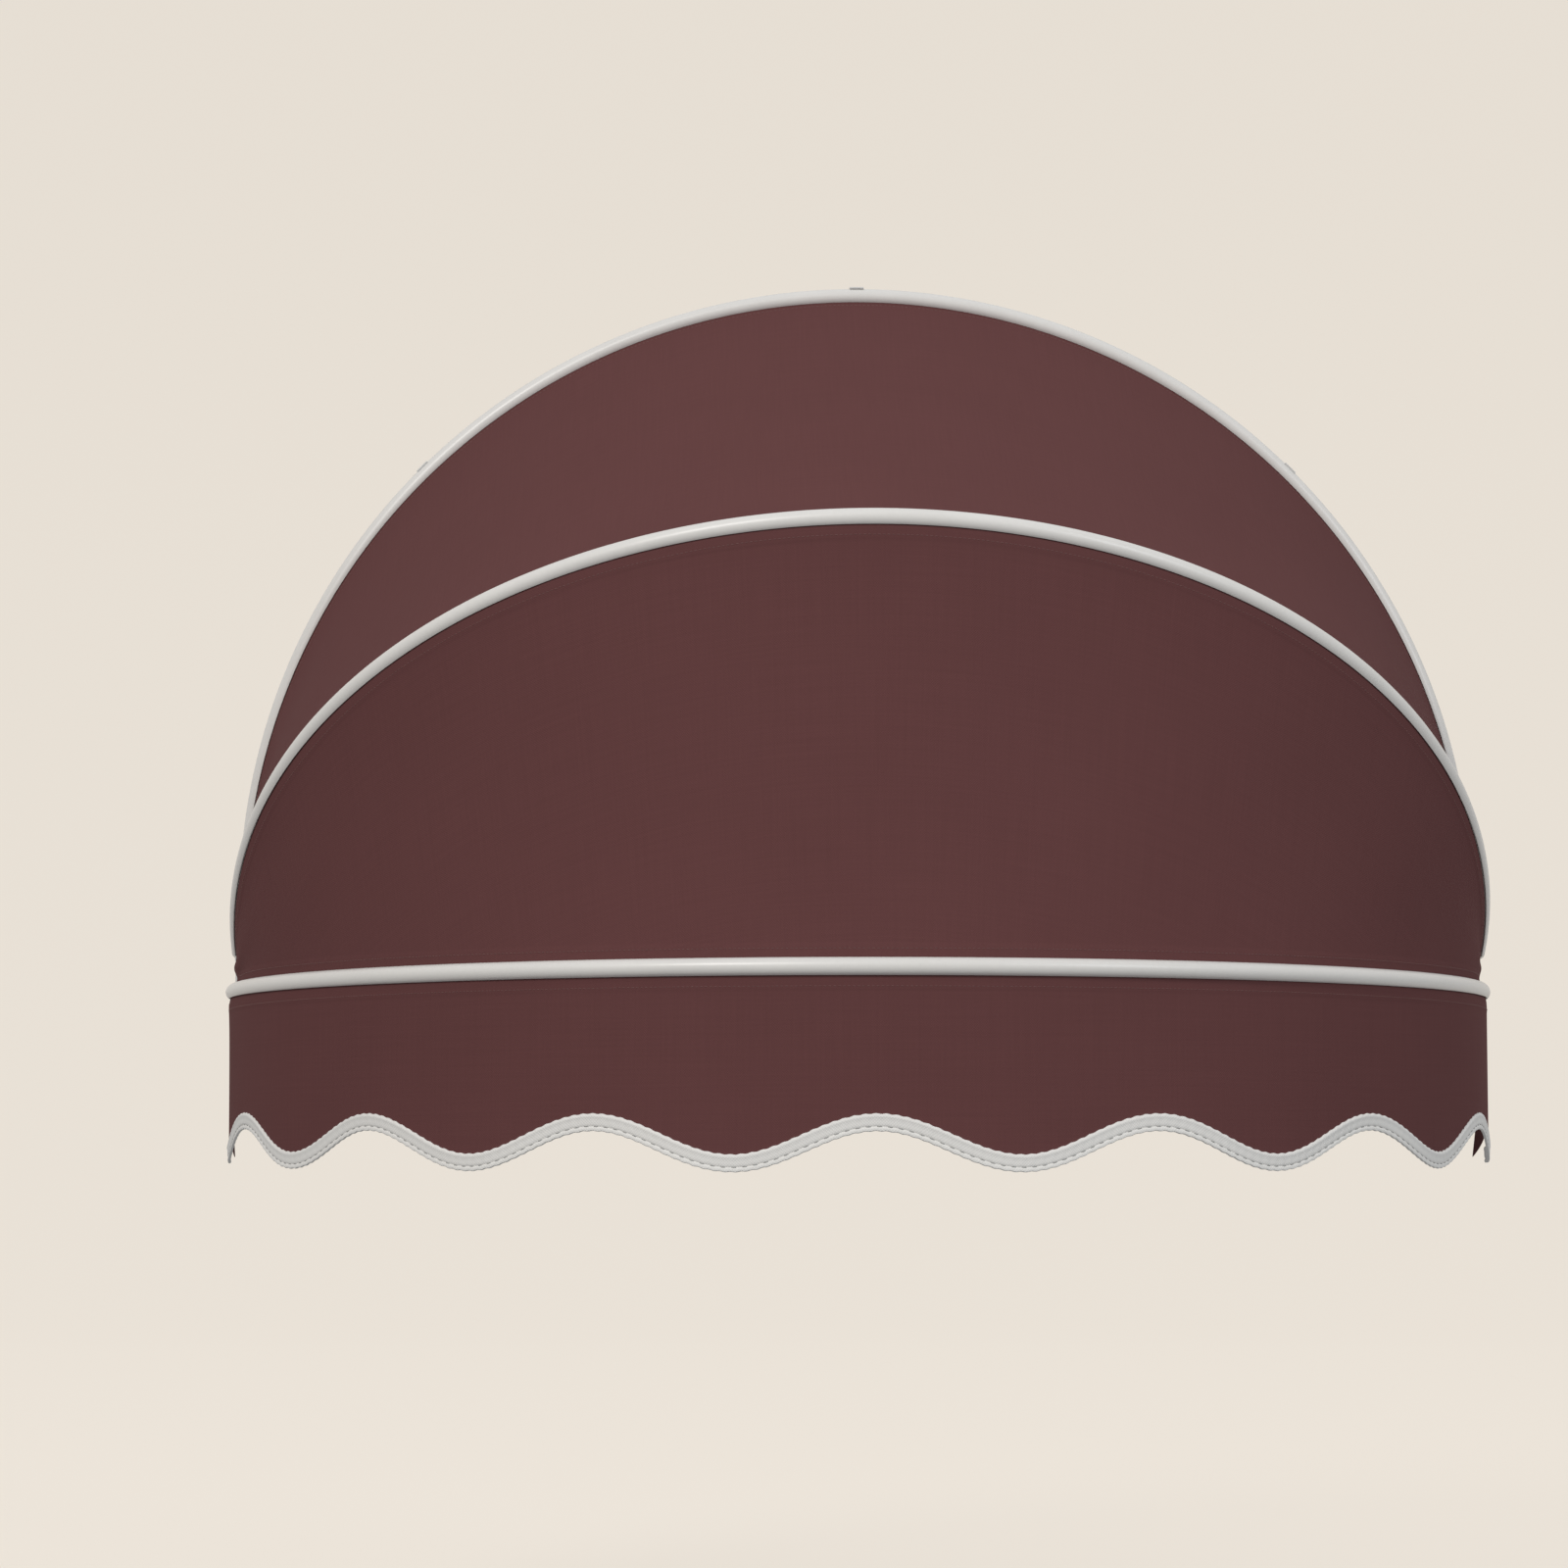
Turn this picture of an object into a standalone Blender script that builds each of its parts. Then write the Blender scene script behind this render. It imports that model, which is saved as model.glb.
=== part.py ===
"""Folding basket awning for a window: three hinged hoops, a cloth dome and a scalloped valance.

Metres, +Z up. The wall is the plane y = 0 and the awning stands out from it towards -Y.
The hinge axis of the hoops lies along X at z = 0. Left is -X, right is +X.
"""

from math import acos, asin, atan2, ceil, cos, hypot, pi, radians, sin, sqrt

import bmesh
import bpy
from mathutils import Vector

# Driving dimensions of the frame
HALF_WIDTH = 0.600
TUBE_RADIUS = 0.008
PIVOT_OFFSET = 0.040
WALL_HOOP_OFFSET = 0.014
WALL_HOOP_LEG = 0.092
MIDDLE_HOOP_LEG = 0.0759
MIDDLE_HOOP_TILT = radians(52.73)
FRONT_HOOP_TILT = radians(88.75)
FRONT_SPREAD = 0.012
WALL_HOOP_START = 0.038
MIDDLE_HOOP_START = 0.068
FRONT_HOOP_START = 0.040
HOOP_SEGMENTS = 32

# Section of the hoop tube: beading grooves and the middle chamber
GROOVE_MOUTH = 0.0022
GROOVE_LIP = 0.0015
CHANNEL_WIDTH = 0.0048
CHANNEL_DEPTH = 0.0033
GROOVE_LEAN = radians(12.0)
CHAMBER_WIDTH = 0.0112
CHAMBER_HEIGHT = 0.0034
ARC_STEP = radians(36.0)

# Cloth
CLOTH_THICKNESS = 0.0010
BEAD_DIAMETER = 0.0028
BEAD_FLAT = 0.0007
BEAD_BACK = 0.00084
CANOPY_SAG = 0.008
CANOPY_ROWS = 3
CLOTH_START = 0.005
VALANCE_DROP = 0.1538
VALANCE_LIFT = 0.0118
WAVE_HEIGHT = 0.0178
WAVE_COUNT = 6.85
WAVE_STEPS = 3
BINDING_WIDTH = 0.0145
BINDING_WALL = 0.0008

# Clearances
SEAT_GAP = 0.0003
SIDE_GAP = 0.0004

# Hinge stack, outwards from the middle of the hoop tube
BOLT_DIAMETER = 0.006
BORE_CLEARANCE = 0.0003
TONGUE_THICKNESS = 0.0032
LUG_THICKNESS = 0.0046
OUTER_TONGUE_FACE = 0.0030
EYE_RADIUS = 0.009
TONGUE_WIDTH = 0.014
COLLAR_THICKNESS = 0.0035
BLADE_WIDTH = 0.0084
BLADE_THICKNESS = 0.0026
BLADE_LENGTH = 0.016
BOLT_HEAD_RADIUS = 0.0062
BOLT_HEAD_HEIGHT = 0.0026
BOLT_HEAD_FLAT = 0.0031
BOLT_HEAD_ROUNDING = 0.0010
BOLT_CHAMFER = 0.0009
WASHER_RADIUS = 0.0065
WASHER_THICKNESS = 0.0012
NUT_RADIUS = 0.0058
NUT_THICKNESS = 0.0045
BOLT_TIP = 0.0015

# Hinge bracket
PLATE_WIDTH = 0.050
PLATE_INSET = 0.013
PLATE_THICKNESS = 0.005
PLATE_BOTTOM = -0.050
PLATE_TOP = 0.078
PLATE_CORNER = 0.006
LUG_RADIUS = 0.011
LUG_ROOT = 0.018
SOCKET_RADIUS = 0.012
SOCKET_BOTTOM = 0.033
SOCKET_TOP = 0.070
WEB_WIDTH = 0.018
SCREW_RADIUS = 0.0025
SCREW_HEAD_RADIUS = 0.0045
SCREW_HEAD_HEIGHT = 0.0028
SCREW_HEAD_FLAT = 0.0025
SCREW_HEAD_ROUNDING = 0.0009
SCREW_SIDE = 0.0165
SCREW_LOW = -0.040
SCREW_HIGH = 0.062

# Clips that hold the wall hoop
CLIP_ANGLES = {"left": 135.0, "top": 90.0, "right": 45.0}
CLIP_LENGTH = 0.014
CLIP_CLEARANCE = 0.0008
CLIP_WALL = 0.0012
CLIP_BASE = 0.003
CLIP_FOOT = 0.028
CLIP_NECK = 0.007
CLIP_OPENING = radians(60.0)
CLIP_SCREW_PLACE = 0.0195

ROUND_STEPS = 16
SOCKET_STEPS = 24
SCREW_STEPS = 10
HOLE_REACH = 0.02
SIDES = {"left": -1.0, "right": 1.0}
PIVOT = Vector((0.0, -PIVOT_OFFSET, 0.0))


def clear_scene():
    for thing in list(bpy.data.objects):
        bpy.data.objects.remove(thing, do_unlink=True)


def make_material(name, colour, roughness, metallic=0.0):
    material = bpy.data.materials.new(name)
    material.use_nodes = True
    shader = material.node_tree.nodes["Principled BSDF"]
    shader.inputs["Base Color"].default_value = (*colour, 1.0)
    shader.inputs["Roughness"].default_value = roughness
    shader.inputs["Metallic"].default_value = metallic
    return material


def make_object(name, bm, material, origin=Vector((0.0, 0.0, 0.0))):
    """Turn a bmesh in world coordinates into an object whose origin is the given point."""
    bmesh.ops.recalc_face_normals(bm, faces=bm.faces)
    bmesh.ops.translate(bm, verts=bm.verts, vec=-origin)
    mesh = bpy.data.meshes.new(name)
    bm.to_mesh(mesh)
    bm.free()
    mesh.shade_smooth()
    mesh.set_sharp_from_angle(angle=radians(35.0))
    mesh.materials.append(material)
    thing = bpy.data.objects.new(name, mesh)
    thing.location = origin
    bpy.context.scene.collection.objects.link(thing)
    return thing


def tool_object(bm):
    """A temporary solid that is joined to, or cut from, another one."""
    bmesh.ops.recalc_face_normals(bm, faces=bm.faces)
    mesh = bpy.data.meshes.new("tool")
    bm.to_mesh(mesh)
    bm.free()
    thing = bpy.data.objects.new("tool", mesh)
    thing.hide_render = True
    thing.display_type = "WIRE"
    bpy.context.scene.collection.objects.link(thing)
    return thing


def boolean(body, operation, solids):
    """Join the solids to the body, or cut them from it, and keep the result as its mesh."""
    tools = [tool_object(bm) for bm in solids]
    for tool in tools:
        modifier = body.modifiers.new(operation.lower(), "BOOLEAN")
        modifier.operation = operation
        modifier.solver = "EXACT"
        modifier.object = tool
    bpy.context.view_layer.update()
    evaluated = body.evaluated_get(bpy.context.evaluated_depsgraph_get())
    mesh = bpy.data.meshes.new_from_object(evaluated)
    body.modifiers.clear()
    mesh.name = body.name
    body.data = mesh
    for tool in tools:
        bpy.data.objects.remove(tool, do_unlink=True)


def box(low, high):
    bm = bmesh.new()
    bmesh.ops.create_cube(bm, size=1.0)
    for vert in bm.verts:
        vert.co = Vector([a + (b - a) * (c + 0.5) for a, b, c in zip(low, high, vert.co)])
    return bm


def turned(profile, start, direction, steps=ROUND_STEPS):
    """A solid of revolution: profile holds (distance along the axis, radius) pairs."""
    direction = Vector(direction).normalized()
    side = direction.orthogonal().normalized()
    other = direction.cross(side)
    bm = bmesh.new()
    rings = []
    for along, radius in profile:
        centre = Vector(start) + direction * along
        ring = []
        for step in range(steps):
            angle = 2.0 * pi * step / steps
            ring.append(bm.verts.new(centre + (side * cos(angle) + other * sin(angle)) * radius))
        rings.append(ring)
    for first, second in zip(rings, rings[1:]):
        for step in range(steps):
            following = (step + 1) % steps
            bm.faces.new((first[step], first[following], second[following], second[step]))
    bm.faces.new(rings[0])
    bm.faces.new(rings[-1])
    return bm


def rod(start, end, radius, steps=ROUND_STEPS):
    direction = Vector(end) - Vector(start)
    return turned([(0.0, radius), (direction.length, radius)], start, direction, steps)


def extruded(outline, origin, across, along, depth):
    """Extrude a flat outline of (across, along) pairs by the depth vector."""
    bm = bmesh.new()
    near = [bm.verts.new(Vector(origin) + Vector(across) * a + Vector(along) * b) for a, b in outline]
    far = [bm.verts.new(vert.co + Vector(depth)) for vert in near]
    count = len(near)
    for step in range(count):
        following = (step + 1) % count
        bm.faces.new((near[step], near[following], far[following], far[step]))
    bm.faces.new(near)
    bm.faces.new(far)
    return bm


def arc(centre, radius, start, end, steps):
    """Points on an arc in the plane, both ends included."""
    return [(centre[0] + radius * cos(start + (end - start) * step / steps),
             centre[1] + radius * sin(start + (end - start) * step / steps)) for step in range(steps + 1)]


class Hoop:
    """A bent tube: two short legs and a round arch, or a round arch cut at its ends.

    Stations are numbered from the right end (0) to the left end (HOOP_SEGMENTS). Each has its
    centre, the direction outwards in the hoop's plane, and the hoop shares one plane normal.
    """

    def __init__(self, tilt, leg, start, base, radius=HALF_WIDTH):
        self.radius = radius
        self.rise = Vector((0.0, -sin(tilt), cos(tilt)))
        self.back = Vector((0.0, cos(tilt), sin(tilt)))
        self.base = base
        self.stations = []
        if leg > 0.0:
            arch_steps = HOOP_SEGMENTS - 2
            self.add(0.0, start, leg)
            for step in range(arch_steps + 1):
                self.add(pi * step / arch_steps, leg, leg)
            self.add(pi, start, leg)
        else:
            first = asin((start - leg) / radius)
            for step in range(HOOP_SEGMENTS + 1):
                self.add(first + (pi - 2.0 * first) * step / HOOP_SEGMENTS, leg, leg)

    def add(self, angle, height, leg):
        on_arch = 1.0 if height == leg else 0.0
        side = Vector((1.0, 0.0, 0.0))
        outward = side * cos(angle) + self.rise * sin(angle)
        centre = self.base + side * self.radius * cos(angle)
        centre = centre + self.rise * (height + on_arch * self.radius * sin(angle))
        self.stations.append((centre, outward))

    def at(self, place):
        """Centre and outward direction at a station number, which may lie between two."""
        first = min(int(place), HOOP_SEGMENTS - 1)
        share = place - first
        centre = self.stations[first][0].lerp(self.stations[first + 1][0], share)
        outward = self.stations[first][1].lerp(self.stations[first + 1][1], share).normalized()
        return centre, outward

    def place_after(self, distance):
        """The station number that lies this far from the hoop's end."""
        first_step = (self.stations[1][0] - self.stations[0][0]).length
        return distance / first_step

    def groove(self, side, lean, outward):
        """Direction in which a groove opens: side +1 is towards the wall."""
        return (self.back * side * cos(lean) - outward * sin(lean)).normalized()


def tube_section(grooves):
    """Outline of the tube as (outward, back) pairs, with beading grooves at the given angles."""
    mouth_angle = asin(GROOVE_MOUTH / 2.0 / TUBE_RADIUS)
    lip = sqrt(TUBE_RADIUS ** 2 - (GROOVE_MOUTH / 2.0) ** 2) - GROOVE_LIP
    floor = lip - CHANNEL_DEPTH
    inside = [(lip, -GROOVE_MOUTH), (lip - GROOVE_LIP / 3.0, -CHANNEL_WIDTH), (floor, -CHANNEL_WIDTH),
              (floor, CHANNEL_WIDTH), (lip - GROOVE_LIP / 3.0, CHANNEL_WIDTH), (lip, GROOVE_MOUTH)]
    points = []
    for index, angle in enumerate(grooves):
        for depth, width in inside:
            points.append((depth * cos(angle) - width / 2.0 * sin(angle),
                           depth * sin(angle) + width / 2.0 * cos(angle)))
        following = grooves[(index + 1) % len(grooves)]
        start = angle + mouth_angle
        end = following - mouth_angle
        while end <= start:
            end += 2.0 * pi
        points += arc((0.0, 0.0), TUBE_RADIUS, start, end, ceil((end - start) / ARC_STEP))
    return points


def hoop_tube(name, hoop, grooves, material):
    """Sweep the tube section along the hoop, with the chamber open right through."""
    half_width = CHAMBER_WIDTH / 2.0
    half_height = CHAMBER_HEIGHT / 2.0
    chamber = [(half_width, half_height), (-half_width, half_height),
               (-half_width, -half_height), (half_width, -half_height)]
    bm = bmesh.new()
    end_edges = [[], []]
    for outline in (tube_section(grooves), chamber):
        rings = []
        for centre, outward in hoop.stations:
            rings.append([bm.verts.new(centre + outward * a + hoop.back * b) for a, b in outline])
        count = len(outline)
        for first, second in zip(rings, rings[1:]):
            for step in range(count):
                following = (step + 1) % count
                bm.faces.new((first[step], first[following], second[following], second[step]))
        for edges, ring in zip(end_edges, (rings[0], rings[-1])):
            edges += [bm.edges.get((ring[step], ring[(step + 1) % count])) for step in range(count)]
    for edges in end_edges:
        bmesh.ops.triangle_fill(bm, use_beauty=False, use_dissolve=False, edges=edges)
    return make_object(name, bm, material, hoop.base)


def ladder(name, stations, material, origin):
    """A thin solid from stations of (front point, back point) pairs, closed all round."""
    bm = bmesh.new()
    fronts = [[bm.verts.new(pair[0]) for pair in station] for station in stations]
    backs = [[bm.verts.new(pair[1]) for pair in station] for station in stations]
    rows = len(stations[0]) - 1
    for index in range(len(stations) - 1):
        for row in range(rows):
            for grid in (fronts, backs):
                bm.faces.new((grid[index][row], grid[index + 1][row],
                              grid[index + 1][row + 1], grid[index][row + 1]))
        for row in (0, rows):
            bm.faces.new((fronts[index][row], fronts[index + 1][row],
                          backs[index + 1][row], backs[index][row]))
    for index in (0, len(stations) - 1):
        for row in range(rows):
            bm.faces.new((fronts[index][row], fronts[index][row + 1],
                          backs[index][row + 1], backs[index][row]))
    return make_object(name, bm, material, origin)


def bead_rungs(centre, direction, across):
    """The beading in a groove and the cloth in its mouth, from the bead's back outwards."""
    lip = sqrt(TUBE_RADIUS ** 2 - (GROOVE_MOUTH / 2.0) ** 2) - GROOVE_LIP
    bead = BEAD_DIAMETER / 2.0
    middle = lip - GROOVE_LIP / 3.0 - bead
    half_cloth = CLOTH_THICKNESS / 2.0
    rungs = [(middle - BEAD_BACK, BEAD_FLAT), (middle, bead), (lip - GROOVE_LIP / 4.0, half_cloth)]
    return [(centre + direction * depth, across * half) for depth, half in rungs]


def canopy(name, upper, lower, material):
    """Cloth between two hoops, beaded into both and drawn in a little between them."""
    upper_start = upper["start"]
    lower_start = lower["start"]
    inside = Vector((0.0, -HALF_WIDTH / 3.0, HALF_WIDTH / 6.0))
    half_cloth = CLOTH_THICKNESS / 2.0
    reach = TUBE_RADIUS + CLOTH_THICKNESS
    stations = []
    for index in range(HOOP_SEGMENTS + 1):
        ends = []
        for edge, start in ((upper, upper_start), (lower, lower_start)):
            place = min(max(index, start), HOOP_SEGMENTS - start)
            centre, outward = edge["hoop"].at(place)
            direction = edge["hoop"].groove(edge["side"], GROOVE_LEAN, outward)
            along = outward.cross(edge["hoop"].back)
            ends.append((centre, direction, along.cross(direction).normalized()))
        leave = ends[0][0] + ends[0][1] * reach
        arrive = ends[1][0] + ends[1][1] * reach
        chord = arrive - leave
        turn = pi * index / HOOP_SEGMENTS
        running = Vector((-sin(turn), 0.0, cos(turn)))
        normal = chord.cross(running).normalized()
        if normal.dot(inside - (leave + arrive) / 2.0) < 0.0:
            normal = -normal
        sides = [-1.0 if end[2].dot(normal) < 0.0 else 1.0 for end in ends]
        rungs = bead_rungs(ends[0][0], ends[0][1], ends[0][2] * sides[0])
        rungs.append((leave, ends[0][2] * sides[0] * half_cloth))
        for row in range(1, CANOPY_ROWS + 1):
            share = row / (CANOPY_ROWS + 1)
            sag = CANOPY_SAG * 4.0 * share * (1.0 - share) * min(1.0, chord.length / HALF_WIDTH * 1.5)
            rungs.append((leave + chord * share + normal * sag, normal * half_cloth))
        rungs.append((arrive, ends[1][2] * sides[1] * half_cloth))
        rungs += reversed(bead_rungs(ends[1][0], ends[1][1], ends[1][2] * sides[1]))
        stations.append([(point - half, point + half) for point, half in rungs])
    return ladder(name, stations, material, PIVOT)


def valance_places(start):
    """Station numbers along the front hoop at which the valance is drawn."""
    steps = HOOP_SEGMENTS * WAVE_STEPS
    last = HOOP_SEGMENTS - start
    inner = [step / WAVE_STEPS for step in range(1, steps) if start < step / WAVE_STEPS < last]
    return [start] + inner + [last]


def valance_drop(place, start):
    """Depth of the binding's middle under the front hoop, and how far the wave's slope stretches it."""
    from_middle = (place - start) / (HOOP_SEGMENTS - 2.0 * start) - 0.5
    phase = pi + 2.0 * pi * WAVE_COUNT * from_middle
    wave_length = pi * (HALF_WIDTH + FRONT_SPREAD) / WAVE_COUNT
    slope = 2.0 * pi * WAVE_HEIGHT / wave_length * sin(phase)
    depth = VALANCE_DROP - VALANCE_LIFT * (2.0 * from_middle) ** 2 + WAVE_HEIGHT * cos(phase)
    return depth, sqrt(1.0 + slope * slope)


def valance(hoop, start, material):
    stations = []
    down = -hoop.back
    half_cloth = CLOTH_THICKNESS / 2.0
    for place in valance_places(start):
        centre, outward = hoop.at(place)
        drop, stretch = valance_drop(place, start)
        lower_edge = drop + BINDING_WIDTH / 2.0 * stretch - BINDING_WALL - SEAT_GAP
        rungs = bead_rungs(centre, down, outward)
        rungs.append((centre + down * drop / 2.0, outward * half_cloth))
        rungs.append((centre + down * lower_edge, outward * half_cloth))
        stations.append([(point + half, point - half) for point, half in rungs])
    return ladder("valance", stations, material, PIVOT)


def valance_binding(hoop, start, material):
    """A tape folded round the lower edge of the valance."""
    down = -hoop.back
    slot = CLOTH_THICKNESS / 2.0 + SEAT_GAP
    face = slot + BINDING_WALL
    bm = bmesh.new()
    rings = []
    for place in valance_places(start):
        centre, outward = hoop.at(place)
        drop, stretch = valance_drop(place, start)
        top = drop - BINDING_WIDTH / 2.0 * stretch
        bottom = drop + BINDING_WIDTH / 2.0 * stretch
        fold = bottom - BINDING_WALL
        outline = [(face, top), (face, bottom), (-face, bottom), (-face, top),
                   (-slot, top), (-slot, fold), (slot, fold), (slot, top)]
        rings.append([bm.verts.new(centre + outward * a + down * b) for a, b in outline])
    count = len(rings[0])
    for first, second in zip(rings, rings[1:]):
        for step in range(count):
            following = (step + 1) % count
            bm.faces.new((first[step], first[following], second[following], second[step]))
    for ring in (rings[0], rings[-1]):
        bm.faces.new(ring)
    return make_object("valance_binding", bm, material, PIVOT)


def hinge_place(side, offset):
    """A point on the hinge axis, offset outwards from the middle of the hoop tube."""
    return Vector((side * (HALF_WIDTH + offset), -PIVOT_OFFSET, 0.0))


def outer_tongue_faces():
    """Offsets of the outer and inner face of the front hoop's tongue."""
    return OUTER_TONGUE_FACE + TONGUE_THICKNESS, OUTER_TONGUE_FACE


def lug_faces():
    """Offsets of the bracket lug's outer and inner face."""
    outer = OUTER_TONGUE_FACE - SIDE_GAP
    return outer, outer - LUG_THICKNESS


def inner_tongue_faces():
    """Offsets of the outer and inner face of the middle hoop's tongue."""
    outer = lug_faces()[1] - SIDE_GAP
    return outer, outer - TONGUE_THICKNESS


def hoop_end(name, side, hoop, faces, material):
    """A forged end piece: an eye on the hinge bolt, a tongue, a collar and a blade in the tube."""
    outer, inner = faces
    station = 0 if side > 0.0 else HOOP_SEGMENTS
    inward = 1 if side > 0.0 else HOOP_SEGMENTS - 1
    centre, outward = hoop.stations[station]
    tube_way = hoop.back.cross(outward).normalized()
    if tube_way.dot(hoop.rise) < 0.0:
        tube_way = -tube_way
    height = (centre - hoop.base).dot(hoop.rise)
    axis = Vector((side, 0.0, 0.0))
    thickness = axis * (outer - inner)
    start = hinge_place(side, inner)
    half = TONGUE_WIDTH / 2.0
    turn = acos(half / EYE_RADIUS)
    end = height - SEAT_GAP - COLLAR_THICKNESS / 2.0
    outline = [(half, end)] + arc((0.0, 0.0), EYE_RADIUS, turn, -pi - turn, ROUND_STEPS) + [(-half, end)]
    bm = extruded(outline, start, hoop.back, hoop.rise, thickness)
    piece = make_object(name, bm, material)
    collar_start = centre - tube_way * (SEAT_GAP + COLLAR_THICKNESS)
    collar = rod(collar_start, centre - tube_way * SEAT_GAP, TUBE_RADIUS)
    chord = (hoop.stations[inward][0] - centre).normalized()
    corners = [(BLADE_WIDTH / 2.0, BLADE_THICKNESS / 2.0), (-BLADE_WIDTH / 2.0, BLADE_THICKNESS / 2.0),
               (-BLADE_WIDTH / 2.0, -BLADE_THICKNESS / 2.0), (BLADE_WIDTH / 2.0, -BLADE_THICKNESS / 2.0)]
    blade = extruded(corners, centre - tube_way * (SEAT_GAP + COLLAR_THICKNESS / 2.0), outward, hoop.back,
                     chord * (BLADE_LENGTH + COLLAR_THICKNESS / 2.0))
    boolean(piece, "UNION", [collar, blade])
    bore = BOLT_DIAMETER / 2.0 + BORE_CLEARANCE
    boolean(piece, "DIFFERENCE", [rod(start - axis * HOLE_REACH, start + axis * HOLE_REACH, bore)])
    return piece


def hinge_bracket(name, side, material):
    """Wall plate with the hinge lug and the socket that takes the wall hoop's leg."""
    middle = side * HALF_WIDTH
    flat = PLATE_WIDTH / 2.0 - PLATE_CORNER
    high = PLATE_TOP - PLATE_CORNER
    low = PLATE_BOTTOM + PLATE_CORNER
    outline = []
    for quarter, corner in enumerate(((flat, high), (-flat, high), (-flat, low), (flat, low))):
        outline += arc(corner, PLATE_CORNER, quarter * pi / 2.0, (quarter + 1) * pi / 2.0, 4)
    plate_middle = (side * (HALF_WIDTH - PLATE_INSET), -PLATE_THICKNESS, 0.0)
    bm = extruded(outline, plate_middle, (1, 0, 0), (0, 0, 1), (0, PLATE_THICKNESS, 0))
    bracket = make_object(name, bm, material)
    outer, inner = lug_faces()
    root = PIVOT_OFFSET - PLATE_THICKNESS / 2.0
    reach = hypot(root, LUG_ROOT)
    turn = acos(LUG_RADIUS / reach) + atan2(LUG_ROOT, root)
    nose = arc((0.0, 0.0), LUG_RADIUS, -pi + turn, pi - turn, 12)
    profile = [(root, -LUG_ROOT)] + [(-a, b) for a, b in nose]
    profile += [(root, LUG_ROOT)]
    lug = extruded(profile, hinge_place(side, inner), (0, 1, 0), (0, 0, 1), (side * (outer - inner), 0, 0))
    socket_centre = Vector((middle, -WALL_HOOP_OFFSET, 0.0))
    up = Vector((0.0, 0.0, 1.0))
    socket = rod(socket_centre + up * SOCKET_BOTTOM, socket_centre + up * SOCKET_TOP, SOCKET_RADIUS,
                 SOCKET_STEPS)
    web = box((middle - WEB_WIDTH / 2.0, -WALL_HOOP_OFFSET, SOCKET_BOTTOM),
              (middle + WEB_WIDTH / 2.0, -PLATE_THICKNESS / 2.0, SOCKET_TOP))
    boolean(bracket, "UNION", [lug, socket, web])
    bore_start = socket_centre + up * (WALL_HOOP_START - SEAT_GAP)
    bore_end = socket_centre + up * (SOCKET_TOP + HOLE_REACH)
    bore = rod(bore_start, bore_end, TUBE_RADIUS + SEAT_GAP, SOCKET_STEPS)
    axis = Vector((side, 0.0, 0.0))
    pivot = hinge_place(side, inner)
    bolt_hole = BOLT_DIAMETER / 2.0 + BORE_CLEARANCE
    holes = [bore, rod(pivot - axis * HOLE_REACH, pivot + axis * HOLE_REACH, bolt_hole)]
    for place in screw_places(side):
        start = Vector((place[0], -HOLE_REACH, place[1]))
        end = Vector((place[0], HOLE_REACH, place[1]))
        holes.append(rod(start, end, SCREW_RADIUS + BORE_CLEARANCE, SCREW_STEPS))
    boolean(bracket, "DIFFERENCE", holes)
    return bracket


def screw_places(side):
    """Two screws above each other towards the window and one low on the outside, as (x, z) pairs."""
    middle = HALF_WIDTH - PLATE_INSET
    inner = side * (middle - SCREW_SIDE)
    outer = side * (middle + SCREW_SIDE)
    return [(inner, SCREW_LOW), (inner, SCREW_HIGH), (outer, SCREW_LOW)]


def screw(head_seat, direction, depth):
    """A pan head screw whose shank goes from its head's seat along the direction."""
    round_from = SCREW_HEAD_ROUNDING - SCREW_HEAD_HEIGHT
    round_radius = SCREW_HEAD_RADIUS - SCREW_HEAD_ROUNDING / 2.0
    profile = [(-SCREW_HEAD_HEIGHT, SCREW_HEAD_FLAT), (round_from, round_radius),
               (-SEAT_GAP, SCREW_HEAD_RADIUS), (-SEAT_GAP, SCREW_RADIUS), (depth, SCREW_RADIUS)]
    return turned(profile, head_seat, direction, SCREW_STEPS)


def bracket_screws(name, side, material):
    for number, (across, height) in enumerate(screw_places(side), start=1):
        seat = (across, -PLATE_THICKNESS, height)
        make_object(f"{name}_{number}", screw(seat, (0, 1, 0), PLATE_THICKNESS - SEAT_GAP), material)


def pivot_bolt(name, side, material):
    """Low head outside, plain shank through both eyes and the lug, end past the nut."""
    head_seat = outer_tongue_faces()[0] + SEAT_GAP
    radius = BOLT_DIAMETER / 2.0
    length = head_seat - nut_faces()[1] + BOLT_TIP
    profile = [(-BOLT_HEAD_HEIGHT, BOLT_HEAD_FLAT), (-BOLT_HEAD_ROUNDING, BOLT_HEAD_RADIUS),
               (0.0, BOLT_HEAD_RADIUS), (0.0, radius),
               (length - BOLT_CHAMFER, radius), (length, radius - BOLT_CHAMFER)]
    bm = turned(profile, hinge_place(side, head_seat), (-side, 0, 0))
    return make_object(name, bm, material, hinge_place(side, 0.0))


def washer_faces():
    outer = inner_tongue_faces()[1] - SEAT_GAP
    return outer, outer - WASHER_THICKNESS


def nut_faces():
    outer = washer_faces()[1] - SEAT_GAP
    return outer, outer - NUT_THICKNESS


def ring_on_axis(name, side, faces, radius, steps, material):
    """A washer or a nut on the hinge bolt."""
    outer, inner = faces
    body = rod(hinge_place(side, outer), hinge_place(side, inner), radius, steps)
    piece = make_object(name, body, material)
    hole = rod(hinge_place(side, outer + HOLE_REACH), hinge_place(side, inner - HOLE_REACH),
               BOLT_DIAMETER / 2.0 + BORE_CLEARANCE)
    boolean(piece, "DIFFERENCE", [hole])
    return piece


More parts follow.
